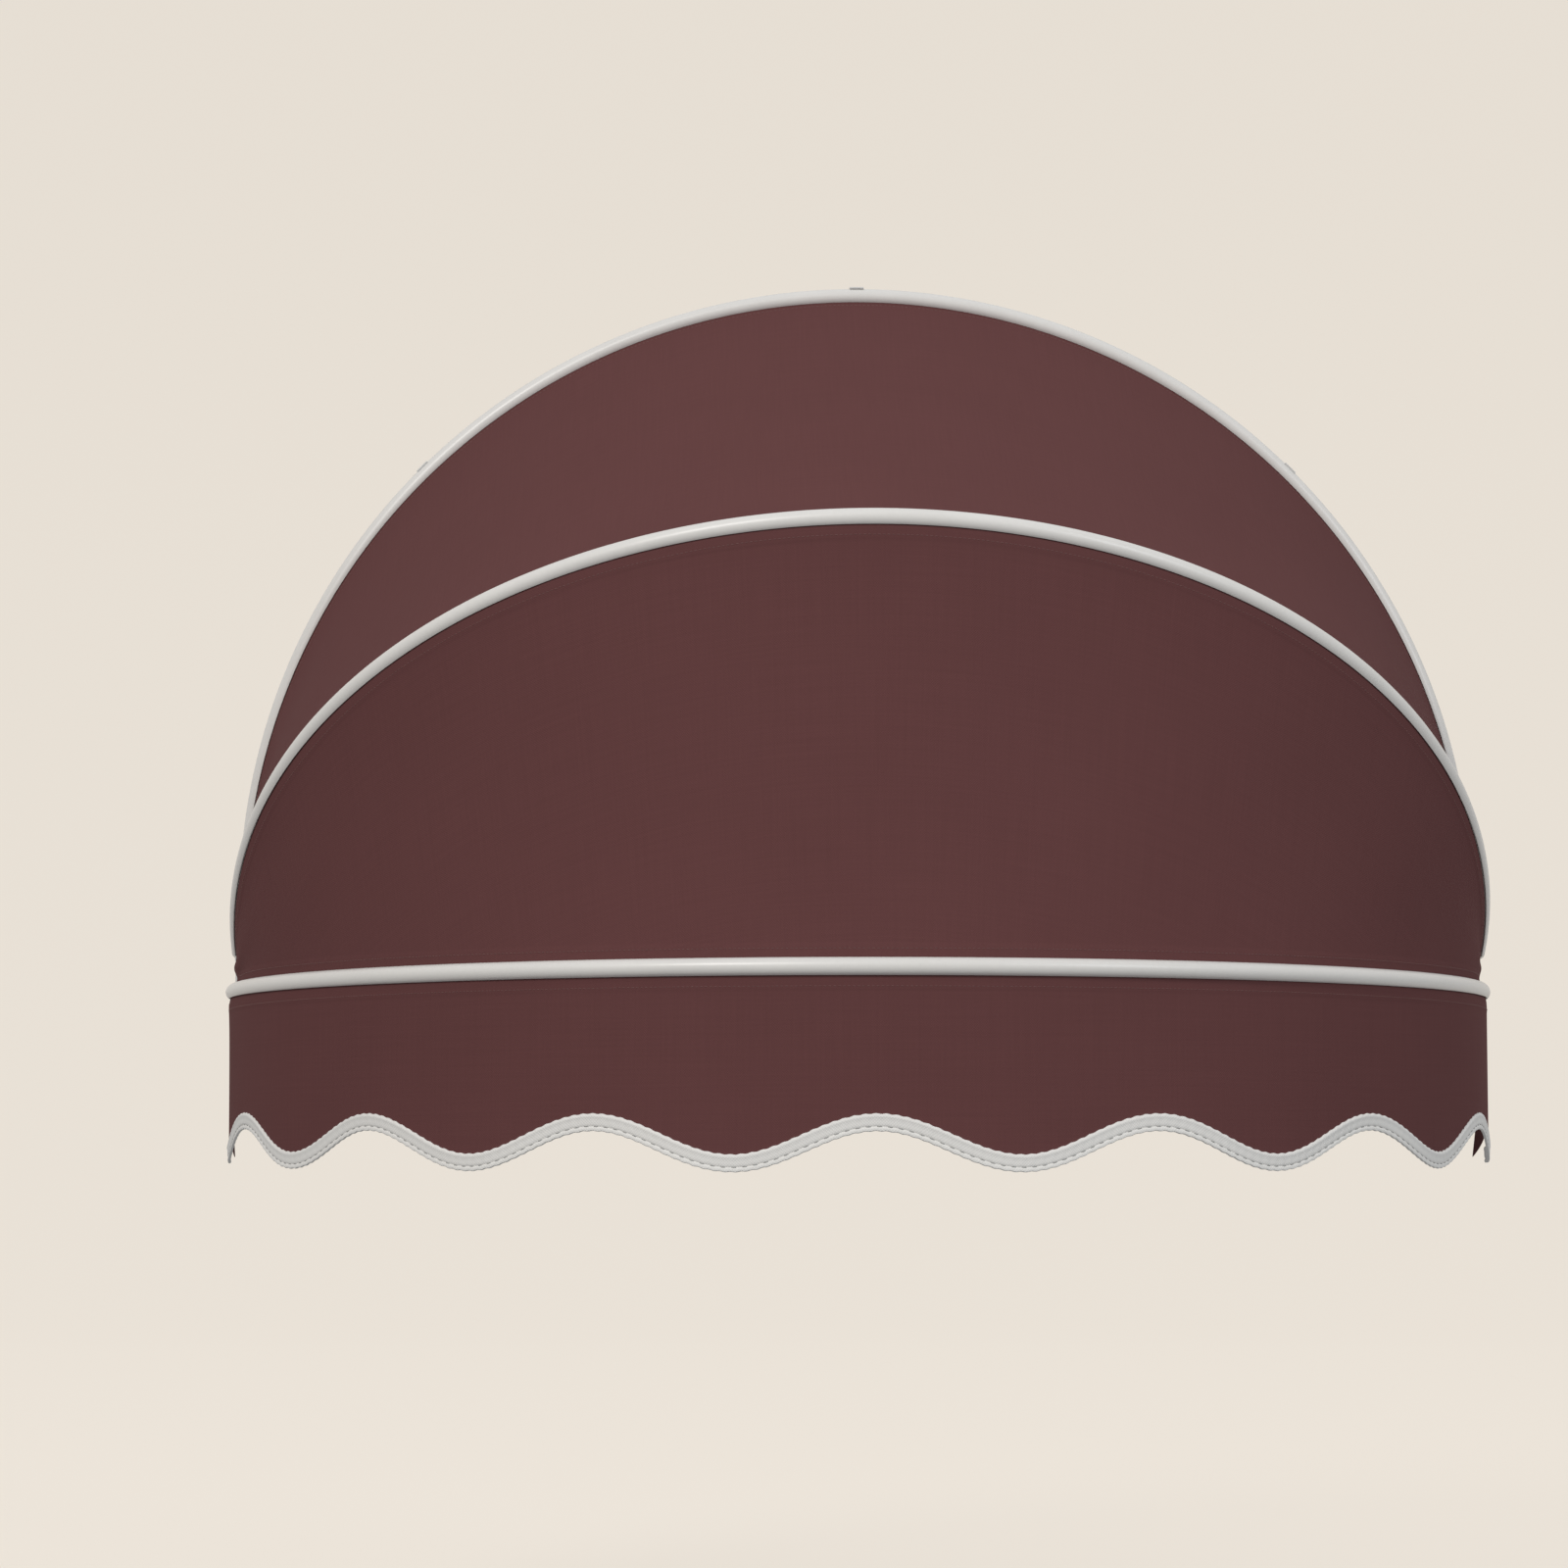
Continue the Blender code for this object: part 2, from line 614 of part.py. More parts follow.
def clip_frame(hoop, angle):
    """Centre of a clip on the wall, with the outward and the running direction of the hoop there."""
    place = 1.0 + (HOOP_SEGMENTS - 2) * angle / pi
    centre, outward = hoop.at(place)
    running = outward.cross(hoop.back)
    return Vector((centre.x, 0.0, centre.z)), outward, running


def wall_clip(name, hoop, angle, material):
    """An open C clip with a screw foot inside the arch, which the wall hoop snaps into."""
    centre, outward, running = clip_frame(hoop, angle)
    inner = TUBE_RADIUS + CLIP_CLEARANCE
    outer = inner + CLIP_WALL
    neck = asin(CLIP_NECK / outer)
    middle = (0.0, WALL_HOOP_OFFSET)
    right = arc(middle, outer, -pi / 2.0 + neck, pi / 2.0 - CLIP_OPENING, 6)
    inside = arc(middle, inner, pi / 2.0 - CLIP_OPENING, -3.0 * pi / 2.0 + CLIP_OPENING, 12)
    left = arc(middle, outer, pi / 2.0 + CLIP_OPENING, 3.0 * pi / 2.0 - neck, 6)
    outline = [(-CLIP_FOOT, 0.0), (CLIP_NECK, 0.0)]
    outline += right + inside + left + [(-CLIP_NECK, CLIP_BASE), (-CLIP_FOOT, CLIP_BASE)]
    start = centre - running * CLIP_LENGTH / 2.0
    bm = extruded(outline, start, outward, (0.0, -1.0, 0.0), running * CLIP_LENGTH)
    clip = make_object(name, bm, material)
    at = centre - outward * CLIP_SCREW_PLACE
    hole = rod(at + Vector((0.0, -HOLE_REACH, 0.0)), at + Vector((0.0, HOLE_REACH, 0.0)),
               SCREW_RADIUS + BORE_CLEARANCE, SCREW_STEPS)
    boolean(clip, "DIFFERENCE", [hole])
    return clip


def clip_screw(name, hoop, angle, material):
    centre, outward, _ = clip_frame(hoop, angle)
    seat = centre - outward * CLIP_SCREW_PLACE + Vector((0.0, -CLIP_BASE, 0.0))
    make_object(name, screw(seat, (0, 1, 0), CLIP_BASE - SEAT_GAP), material)


def main():
    clear_scene()
    paint = make_material("white_powder_coat", (0.80, 0.79, 0.77), 0.42)
    cloth = make_material("maroon_canvas", (0.112, 0.045, 0.044), 0.85)
    tape = make_material("white_binding", (0.78, 0.76, 0.74), 0.75)
    steel = make_material("zinc_steel", (0.60, 0.61, 0.62), 0.35, 1.0)

    wall = Hoop(0.0, WALL_HOOP_LEG, WALL_HOOP_START, Vector((0.0, -WALL_HOOP_OFFSET, 0.0)))
    middle = Hoop(MIDDLE_HOOP_TILT, MIDDLE_HOOP_LEG, MIDDLE_HOOP_START, PIVOT)
    front = Hoop(FRONT_HOOP_TILT, -PIVOT_OFFSET, FRONT_HOOP_START, PIVOT, HALF_WIDTH + FRONT_SPREAD)

    towards_wall = pi / 2.0 + GROOVE_LEAN
    away_from_wall = 3.0 * pi / 2.0 - GROOVE_LEAN
    straight_down = 3.0 * pi / 2.0
    hoop_tube("wall_hoop", wall, [away_from_wall], paint)
    hoop_tube("middle_hoop", middle, [towards_wall, away_from_wall], paint)
    hoop_tube("front_hoop", front, [towards_wall, straight_down], paint)

    wall_edge = {"hoop": wall, "side": -1.0,
                 "start": wall.place_after(SOCKET_TOP + CLOTH_START - WALL_HOOP_START)}
    middle_start = middle.place_after(CLOTH_START)
    front_start = front.place_after(CLOTH_START)
    canopy("upper_canopy", wall_edge, {"hoop": middle, "side": 1.0, "start": middle_start}, cloth)
    canopy("front_canopy", {"hoop": middle, "side": -1.0, "start": middle_start},
           {"hoop": front, "side": 1.0, "start": front_start}, cloth)
    valance(front, front_start, cloth)
    valance_binding(front, front_start, tape)

    for label, side in SIDES.items():
        hinge_bracket("hinge_bracket_" + label, side, paint)
        bracket_screws("bracket_screw_" + label, side, steel)
        hoop_end("middle_hoop_end_" + label, side, middle, inner_tongue_faces(), steel)
        hoop_end("front_hoop_end_" + label, side, front, outer_tongue_faces(), steel)
        pivot_bolt("pivot_bolt_" + label, side, steel)
        ring_on_axis("pivot_washer_" + label, side, washer_faces(), WASHER_RADIUS, ROUND_STEPS, steel)
        ring_on_axis("pivot_nut_" + label, side, nut_faces(), NUT_RADIUS, 6, steel)
    for label, angle in CLIP_ANGLES.items():
        wall_clip("wall_clip_" + label, wall, radians(angle), paint)
        clip_screw("wall_clip_screw_" + label, wall, radians(angle), steel)


main()
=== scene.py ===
"""Looks of the folding basket awning: smooth hoops, canvas dome, scalloped valance and its binding.

Metres, +Z up. The wall plane is y = 0, the hinge axis runs along X at z = 0.
"""

from math import asin, cos, pi, radians, sin, sqrt

import bmesh
import bpy
import numpy as np
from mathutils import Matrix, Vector


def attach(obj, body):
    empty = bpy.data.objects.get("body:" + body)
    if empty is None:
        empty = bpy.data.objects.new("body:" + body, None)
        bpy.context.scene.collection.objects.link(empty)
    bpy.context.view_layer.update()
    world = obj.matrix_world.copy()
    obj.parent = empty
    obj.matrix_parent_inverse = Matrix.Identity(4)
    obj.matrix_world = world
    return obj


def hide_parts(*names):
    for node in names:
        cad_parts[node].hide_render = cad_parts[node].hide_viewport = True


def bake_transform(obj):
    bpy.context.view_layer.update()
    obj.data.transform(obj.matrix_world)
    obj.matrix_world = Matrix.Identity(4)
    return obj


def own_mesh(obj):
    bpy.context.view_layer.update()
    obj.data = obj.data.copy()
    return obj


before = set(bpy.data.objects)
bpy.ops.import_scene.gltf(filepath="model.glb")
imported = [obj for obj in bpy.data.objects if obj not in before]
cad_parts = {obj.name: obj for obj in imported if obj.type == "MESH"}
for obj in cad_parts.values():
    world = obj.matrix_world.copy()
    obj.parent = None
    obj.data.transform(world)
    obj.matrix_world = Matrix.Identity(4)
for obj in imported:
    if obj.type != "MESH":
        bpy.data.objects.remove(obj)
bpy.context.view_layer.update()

# Shape of the frame, as the solids have it
HALF_WIDTH = 0.600
TUBE_RADIUS = 0.008
PIVOT = np.array((0.0, -0.040, 0.0))
WALL_BASE = np.array((0.0, -0.014, 0.0))
WALL_LEG = 0.092
MIDDLE_LEG = 0.0759
MIDDLE_TILT = radians(52.73)
FRONT_TILT = radians(88.75)
FRONT_RADIUS = 0.612
WALL_START = 0.038
MIDDLE_START = 0.068
FRONT_START = 0.040
HOOP_PLACES = 32
GROOVE_MOUTH = 0.0022
GROOVE_DEPTH = 0.0030
TUBE_STATIONS = 224
TUBE_POINTS = 40

# Grooves: 1 faces the wall and -1 faces away, then the lean into the hoop at its top and at its sides
WALL_GROOVE = (-1.0, radians(58.0), radians(-6.0))
MIDDLE_BACK_GROOVE = (1.0, radians(12.0), radians(12.0))
MIDDLE_FRONT_GROOVE = (-1.0, radians(12.0), radians(-22.0))
FRONT_BACK_GROOVE = (1.0, radians(12.0), radians(12.0))
VALANCE_GROOVE = (-1.0, 0.0, radians(-35.0))

# Cloth
CLOTH_HALF = 0.0004
CLOTH_INSIDE = 0.0050
GROOVE_REACH = 0.006
HEM_WIDTH = 0.012
HEM_RISE = 0.00018
CANOPY_SAG = 0.008
CANOPY_PLEAT = 0.0016
CANOPY_SLACK = ((0.0011, 2.7, 0.6), (0.0007, 6.3, -0.9))
CANOPY_STATIONS = 300
CANOPY_ROWS = 40
WALL_CLOTH_PLACE = 0.685
MIDDLE_CLOTH_PLACE = 0.62
FRONT_CLOTH_PLACE = 0.086
VALANCE_DROP = 0.1538
VALANCE_LIFT = 0.0118
WAVE_HEIGHT = 0.0178
WAVE_COUNT = 6.85
VALANCE_STATIONS = 560
VALANCE_ROWS = 26
VALANCE_SEAM = 0.0172
FLUTTER = 0.0022
FLUTTER_WAVES = ((0.6, 3.1, 0.2), (0.4, 7.0, 0.05), (0.3, 11.3, 0.4))
END_CURL = 0.014
END_CURL_RUN = 0.026
END_TAIL = 0.016
END_CUT = 0.030

# Tape along the scalloped edge: its seam is counted in half widths below its middle
BINDING_WIDTH = 0.0145
BINDING_FACE = 0.0015
BINDING_SEAM = 0.46
BINDING_STITCH = 0.0095
BINDING_STITCH_LENGTH = 0.0054
BINDING_THREAD_RADIUS = 0.00055
BINDING_THREAD_SEAT = 0.00078

# Stitches
THREAD_RADIUS = 0.00032
THREAD_SIDES = 6
STITCH_PITCH = 0.0042
STITCH_LENGTH = 0.0030

# Pieces of the frame that are cast, and how far all edges are rounded
CAST_PIECES = ("hinge_bracket", "wall_clip_left", "wall_clip_top", "wall_clip_right")
EDGE_ROUNDING = 0.0003

# Camera of the photograph, in its 1600 pixel frame
PHOTO_WIDTH = 1600.0
PHOTO_FOCAL = 5340.0
SENSOR = 36.0
CAMERA_PLACE = (-0.153, -5.168, -0.1075)
CAMERA_TURN = (radians(93.50), 0.0, radians(-0.90))

# Studio: each light has a name, place, size, power and colour
FLOOR_HEIGHT = -0.62
BOWL_RADIUS = 9.0
BOWL_FILLET = 3.0
PAPER_COLOUR = (0.13, 0.122, 0.112)
PAPER_GLOW = (0.83, 0.765, 0.68)
PAPER_GLOW_LEVEL = 0.86
SKY_COLOUR = (0.95, 0.97, 1.0)
SKY_LEVEL = 0.48
SKY_SLOPE = 0.24
LIGHT_AIM = (0.0, -0.3, 0.2)
LIGHTS = (("key_light", (-2.9, -6.0, 4.3), 2.2, 264.0, (1.0, 0.975, 0.94)),
          ("fill_light", (4.7, -4.9, 3.0), 2.6, 106.0, (0.88, 0.94, 1.0)))


def unit(vectors):
    return vectors / np.linalg.norm(vectors, axis=-1, keepdims=True)


def node_chain(material):
    material.use_nodes = True
    tree = material.node_tree
    return tree, tree.nodes["Principled BSDF"]


def math_node(tree, operation, first, second=None):
    node = tree.nodes.new("ShaderNodeMath")
    node.operation = operation
    for socket, value in zip(node.inputs, (first, second)):
        if value is None:
            continue
        if isinstance(value, (int, float)):
            socket.default_value = value
        else:
            tree.links.new(value, socket)
    return node.outputs[0]


def colour_mix(tree, factor, first, second):
    node = tree.nodes.new("ShaderNodeMix")
    node.data_type = "RGBA"
    tree.links.new(factor, node.inputs["Factor"])
    for socket, value in ((node.inputs["A"], first), (node.inputs["B"], second)):
        if hasattr(value, "is_linked"):
            tree.links.new(value, socket)
        else:
            socket.default_value = (*value, 1.0)
    return node.outputs["Result"]


def noise_node(tree, vector, scale, detail=3.0, roughness=0.5):
    node = tree.nodes.new("ShaderNodeTexNoise")
    node.inputs["Scale"].default_value = scale
    node.inputs["Detail"].default_value = detail
    node.inputs["Roughness"].default_value = roughness
    if vector is not None:
        tree.links.new(vector, node.inputs["Vector"])
    return node.outputs["Fac"]


def scaled_vector(tree, vector, scale):
    node = tree.nodes.new("ShaderNodeMapping")
    node.inputs["Scale"].default_value = scale
    tree.links.new(vector, node.inputs["Vector"])
    return node.outputs["Vector"]


def bump(tree, shader, height, strength, distance):
    node = tree.nodes.new("ShaderNodeBump")
    node.inputs["Strength"].default_value = strength
    node.inputs["Distance"].default_value = distance
    tree.links.new(height, node.inputs["Height"])
    tree.links.new(node.outputs["Normal"], shader.inputs["Normal"])


def canvas_material(name, colour, thread, contrast, bump_strength):
    """Plain weave canvas on UVs in metres, with uneven threads and a faint cloudiness."""
    material = bpy.data.materials.new(name)
    tree, shader = node_chain(material)
    uv = tree.nodes.new("ShaderNodeUVMap")
    uv.uv_map = "metres"
    split = tree.nodes.new("ShaderNodeSeparateXYZ")
    tree.links.new(uv.outputs["UV"], split.inputs[0])
    turns = pi / thread
    across = math_node(tree, "SINE", math_node(tree, "MULTIPLY", split.outputs["X"], turns))
    along = math_node(tree, "SINE", math_node(tree, "MULTIPLY", split.outputs["Y"], turns))
    weave = math_node(tree, "MULTIPLY", across, along)
    warp = noise_node(tree, scaled_vector(tree, uv.outputs["UV"], (420.0, 9.0, 1.0)), 1.0)
    weft = noise_node(tree, scaled_vector(tree, uv.outputs["UV"], (9.0, 420.0, 1.0)), 1.0)
    cloud = noise_node(tree, uv.outputs["UV"], 5.0, 4.0, 0.6)
    slub = math_node(tree, "MULTIPLY", math_node(tree, "ADD", warp, weft), 0.5)
    threads = math_node(tree, "MULTIPLY", slub, 0.7)
    shade = math_node(tree, "ADD", threads, math_node(tree, "MULTIPLY", cloud, 0.3))
    shade = math_node(tree, "ADD", shade, math_node(tree, "MULTIPLY", weave, 0.10))
    dark = tuple(value * (1.0 - contrast) for value in colour)
    light = tuple(min(1.0, value * (1.0 + contrast)) for value in colour)
    tree.links.new(colour_mix(tree, shade, dark, light), shader.inputs["Base Color"])
    height = math_node(tree, "ADD", math_node(tree, "MULTIPLY", weave, 0.5), slub)
    bump(tree, shader, height, bump_strength, 0.0003)
    shader.inputs["Roughness"].default_value = 0.88
    shader.inputs["Specular IOR Level"].default_value = 0.03
    return material


def paint_material(name, colour, roughness, grain):
    """Powder coat: fine orange peel, slight unevenness and dust in the tone."""
    material = bpy.data.materials.new(name)
    tree, shader = node_chain(material)
    place = tree.nodes.new("ShaderNodeTexCoord").outputs["Object"]
    cloud = noise_node(tree, place, 14.0, 5.0, 0.6)
    speck = noise_node(tree, place, 260.0, 2.0, 0.5)
    tone = math_node(tree, "MULTIPLY", cloud, 0.6)
    tone = math_node(tree, "ADD", tone, math_node(tree, "MULTIPLY", speck, 0.4))
    dark = tuple(value * 0.90 for value in colour)
    light = tuple(min(1.0, value * 1.05) for value in colour)
    tree.links.new(colour_mix(tree, tone, dark, light), shader.inputs["Base Color"])
    rough = math_node(tree, "ADD", math_node(tree, "MULTIPLY", cloud, 0.16), roughness - 0.08)
    tree.links.new(rough, shader.inputs["Roughness"])
    bump(tree, shader, noise_node(tree, place, grain, 2.0, 0.5), 0.10, 0.0003)
    return material


def steel_material(name, colour):
    """Zinc plate with a faint spangle and fine drawn lines."""
    material = bpy.data.materials.new(name)
    tree, shader = node_chain(material)
    place = tree.nodes.new("ShaderNodeTexCoord").outputs["Object"]
    spangle = noise_node(tree, place, 180.0, 4.0, 0.6)
    drawn = noise_node(tree, scaled_vector(tree, place, (60.0, 1600.0, 1600.0)), 1.0, 2.0)
    dark = tuple(value * 0.82 for value in colour)
    light = tuple(min(1.0, value * 1.12) for value in colour)
    tree.links.new(colour_mix(tree, spangle, dark, light), shader.inputs["Base Color"])
    rough = math_node(tree, "ADD", math_node(tree, "MULTIPLY", drawn, 0.22), 0.32)
    tree.links.new(rough, shader.inputs["Roughness"])
    shader.inputs["Metallic"].default_value = 1.0
    bump(tree, shader, drawn, 0.12, 0.0002)
    return material


def thread_material(name, colour):
    material = bpy.data.materials.new(name)
    tree, shader = node_chain(material)
    place = tree.nodes.new("ShaderNodeTexCoord").outputs["Object"]
    twist = noise_node(tree, place, 2400.0, 2.0)
    dark = tuple(value * 0.75 for value in colour)
    tree.links.new(colour_mix(tree, twist, dark, colour), shader.inputs["Base Color"])
    bump(tree, shader, twist, 0.3, 0.0001)
    shader.inputs["Roughness"].default_value = 0.7
    return material


CANVAS = canvas_material("canvas", (0.112, 0.045, 0.044), 0.0011, 0.16, 0.35)
TAPE = canvas_material("binding_tape", (0.715, 0.695, 0.66), 0.0013, 0.07, 0.5)
PAINT = paint_material("powder_coat", (0.66, 0.64, 0.61), 0.36, 900.0)
CAST_PAINT = paint_material("cast_powder_coat", (0.61, 0.605, 0.59), 0.46, 420.0)
STEEL = steel_material("zinc_plate", (0.50, 0.51, 0.52))
CANVAS_THREAD = thread_material("canvas_thread", (0.15, 0.066, 0.062))
TAPE_THREAD = thread_material("tape_thread", (0.36, 0.355, 0.34))


def write_uv(mesh, spots):
    """Give each vertex its place on the cloth, in metres."""
    layer = mesh.uv_layers.new(name="metres")
    corners = np.empty(len(mesh.loops), np.int32)
    mesh.loops.foreach_get("vertex_index", corners)
    layer.data.foreach_set("uv", spots[corners].ravel().astype(np.float32))


def face_outward(mesh):
    """Turn the faces of a closed mesh outward and shade it smooth."""
    fixed = bmesh.new()
    fixed.from_mesh(mesh)
    bmesh.ops.recalc_face_normals(fixed, faces=fixed.faces)
    fixed.to_mesh(mesh)
    fixed.free()
    mesh.shade_smooth()


def new_object(name, mesh, material):
    mesh.materials.append(material)
    thing = bpy.data.objects.new(name, mesh)
    bpy.context.scene.collection.objects.link(thing)
    return thing


class Hoop:
    """The centre line of a hoop. Places run from 0 at the right end to HOOP_PLACES at the left."""

    def __init__(self, tilt, leg, start, base, radius=HALF_WIDTH):
        self.rise = np.array((0.0, -sin(tilt), cos(tilt)))
        self.back = np.array((0.0, cos(tilt), sin(tilt)))
        self.base = base
        self.radius = radius
        self.leg = leg
        self.start = start
        self.first = asin((start - leg) / radius) if leg < 0.0 else 0.0

    def angle(self, places):
        """How far round the arch each place lies, from 0 at the right to pi at the left."""
        if self.leg > 0.0:
            return np.clip((places - 1.0) / (HOOP_PLACES - 2.0), 0.0, 1.0) * pi
        return self.first + (pi - 2.0 * self.first) * places / HOOP_PLACES

    def at(self, places):
        """Centres and outward directions at the given places."""
        places = np.asarray(places, float)
        side = np.array((1.0, 0.0, 0.0))
        angle = self.angle(places)
        foot = np.full(places.shape, self.leg)
        if self.leg > 0.0:
            into_leg = np.clip(np.minimum(places, HOOP_PLACES - places), 0.0, 1.0)
            foot = self.start + (self.leg - self.start) * into_leg
        outward = side * np.cos(angle)[..., None] + self.rise * np.sin(angle)[..., None]
        height = foot + self.radius * np.sin(angle)
        across = self.radius * np.cos(angle)
        centre = self.base + side * across[..., None] + self.rise * height[..., None]
        return centre, outward

    def lean(self, places, groove):
        """Lean of a groove into the hoop at the given places."""
        _, top, side = groove
        return side + (top - side) * np.sin(self.angle(np.asarray(places, float)))

    def groove(self, place, groove):
        """Direction in which a groove faces at one place."""
        lean = float(self.lean(place, groove))
        _, outward = self.at(place)
        return unit(self.back * groove[0] * cos(lean) - outward * sin(lean))


WALL = Hoop(0.0, WALL_LEG, WALL_START, WALL_BASE)
MIDDLE = Hoop(MIDDLE_TILT, MIDDLE_LEG, MIDDLE_START, PIVOT)
FRONT = Hoop(FRONT_TILT, float(PIVOT[1]), FRONT_START, PIVOT, FRONT_RADIUS)
VALANCE_END = FRONT_CLOTH_PLACE - END_TAIL / (FRONT_RADIUS * (pi - 2.0 * FRONT.first) / HOOP_PLACES)


def groove_turn(hoop, place, groove):
    """Angle of a groove in the tube's section, counted from outward towards the wall."""
    lean = float(hoop.lean(place, groove))
    return pi / 2.0 + lean if groove[0] > 0.0 else 3.0 * pi / 2.0 - lean


def tube_outline(grooves):
    """Round tube outline as (outward, back) pairs, with soft lipped grooves at the given angles."""
    half = GROOVE_MOUTH / 2.0
    lip = 0.0004
    mouth_angle = asin((half + lip) / TUBE_RADIUS)
    points = []
    for index, angle in enumerate(grooves):
        edge = sqrt(TUBE_RADIUS ** 2 - (half + lip) ** 2)
        floor = TUBE_RADIUS - GROOVE_DEPTH
        cut = [(edge - lip * 0.3, -half - lip * 0.3), (edge - lip, -half), (floor, -half),
               (floor, half), (edge - lip, half), (edge - lip * 0.3, half + lip * 0.3)]
        for depth, width in cut:
            points.append((depth * cos(angle) - width * sin(angle),
                           depth * sin(angle) + width * cos(angle)))
        end = grooves[(index + 1) % len(grooves)] - mouth_angle
        start = angle + mouth_angle
        while end <= start:
            end += 2.0 * pi
        steps = TUBE_POINTS // len(grooves)
        for step in range(steps + 1):
            turn = start + (end - start) * step / steps
            points.append((TUBE_RADIUS * cos(turn), TUBE_RADIUS * sin(turn)))
    return np.array(points)


def loft(name, rings, material, uv=None):
    """A closed skin through rings of points, each ring an array of (points, 3)."""
    rings = np.asarray(rings)
    count, size = rings.shape[:2]
    faces = []
    for index in range(count - 1):
        base = index * size
        for step in range(size):
            following = (step + 1) % size
            faces.append((base + step, base + following, base + size + following, base + size + step))
    faces.append(tuple(range(size - 1, -1, -1)))
    faces.append(tuple(range((count - 1) * size, count * size)))
    mesh = bpy.data.meshes.new(name)
    mesh.from_pydata(rings.reshape(-1, 3).tolist(), [], faces)
    if uv is not None:
        write_uv(mesh, uv.reshape(-1, 2))
    face_outward(mesh)
    mesh.set_sharp_from_angle(angle=radians(38.0))
    return new_object(name, mesh, material)


def hoop_tube(name, hoop, grooves, node, body):
    places = [np.linspace(0.0, 1.0, 5)[:-1], np.linspace(1.0, HOOP_PLACES - 1.0, TUBE_STATIONS),
              np.linspace(HOOP_PLACES - 1.0, HOOP_PLACES, 5)[1:]]
    places = np.concatenate(places)
    centre, outward = hoop.at(places)
    turns = [[groove_turn(hoop, place, groove) for groove in grooves] for place in places]
    outline = np.array([tube_outline(turn) for turn in turns])
    rings = centre[:, None] + outward[:, None] * outline[:, :, :1] + hoop.back * outline[:, :, 1:]
    tube = loft(name, rings, PAINT)
    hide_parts(node)
    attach(tube, body)


def cloth_solid(name, points, outer, inner, uv, material):
    """A thin closed sheet round a grid of points. Outer and inner are its two half thicknesses."""
    along = np.gradient(points, axis=0)
    across = np.gradient(points, axis=1)
    normal = unit(np.cross(along, across))
    centre = points.reshape(-1, 3).mean(axis=0)
    probe = np.array((0.0, -0.15, 0.05))
    if ((centre - probe) * normal[points.shape[0] // 2, points.shape[1] // 2]).sum() < 0.0:
        normal = -normal
    rows, columns = points.shape[:2]
    front = points + normal * outer[..., None]
    back = points - normal * inner[..., None]
    vertices = np.concatenate((front.reshape(-1, 3), back.reshape(-1, 3)))
    offset = rows * columns
    faces = []
    for i in range(rows - 1):
        for j in range(columns - 1):
            a = i * columns + j
            faces.append((a, a + 1, a + columns + 1, a + columns))
            faces.append((a + offset, a + columns + offset, a + columns + 1 + offset, a + 1 + offset))
    for i in range(rows - 1):
        for j, flip in ((0, False), (columns - 1, True)):
            a = i * columns + j
            quad = (a, a + columns, a + columns + offset, a + offset)
            faces.append(quad[::-1] if flip else quad)
    for j in range(columns - 1):
        for i, flip in ((0, True), (rows - 1, False)):
            a = i * columns + j
            quad = (a, a + 1, a + 1 + offset, a + offset)
            faces.append(quad[::-1] if flip else quad)
    mesh = bpy.data.meshes.new(name)
    mesh.from_pydata(vertices.tolist(), [], faces)
    write_uv(mesh, np.concatenate((uv.reshape(-1, 2), uv.reshape(-1, 2))))
    face_outward(mesh)
    mesh.set_sharp_from_angle(angle=radians(60.0))
    return new_object(name, mesh, material)


def stitch_line(path, normal, pitch, length, radius, lift):
    """Vertices and faces of short thread capsules that lie along a path of points."""
    steps = np.linalg.norm(np.diff(path, axis=0), axis=1)
    run = np.concatenate(([0.0], np.cumsum(steps)))
    count = int((run[-1] - pitch) / pitch)
    starts = np.arange(count) * pitch + pitch * 0.5
    shares = np.array((0.0, 0.18, 0.5, 0.82, 1.0))
    sizes = np.array((0.35, 0.9, 1.0, 0.9, 0.35))
    dips = np.array((-0.9, 0.1, 0.45, 0.1, -0.9))
    sides = THREAD_SIDES
    turn = np.arange(sides) * 2.0 * pi / sides
    vertices = []
    faces = []
    for start in starts:
        spots = start + shares * length
        centre = np.stack([np.interp(spots, run, path[:, axis]) for axis in range(3)], axis=1)
        up = unit(np.stack([np.interp(spots, run, normal[:, axis]) for axis in range(3)], axis=1))
        tangent = unit(centre[-1] - centre[0])
        side = unit(np.cross(tangent, up))
        base = len(vertices)
        for ring in range(len(shares)):
            middle = centre[ring] + up[ring] * (lift + radius * dips[ring])
            for angle in turn:
                spoke = side[ring] * cos(angle) + up[ring] * sin(angle)
                vertices.append(middle + spoke * radius * sizes[ring])
        for ring in range(len(shares) - 1):
            for step in range(sides):
                following = (step + 1) % sides
                first = base + ring * sides
                faces.append((first + step, first + following,
                              first + sides + following, first + sides + step))
        faces.append(tuple(base + step for step in reversed(range(sides))))
        last = base + (len(shares) - 1) * sides
        faces.append(tuple(last + step for step in range(sides)))
    return vertices, faces


def stitch_object(name, lines, material):
    """One object with several stitch lines in it."""
    vertices = []
    faces = []
    for line_vertices, line_faces in lines:
        base = len(vertices)
        vertices += line_vertices
        faces += [tuple(base + corner for corner in face) for face in line_faces]
    mesh = bpy.data.meshes.new(name)
    mesh.from_pydata([tuple(vertex) for vertex in vertices], [], faces)
    face_outward(mesh)
    return new_object(name, mesh, material)


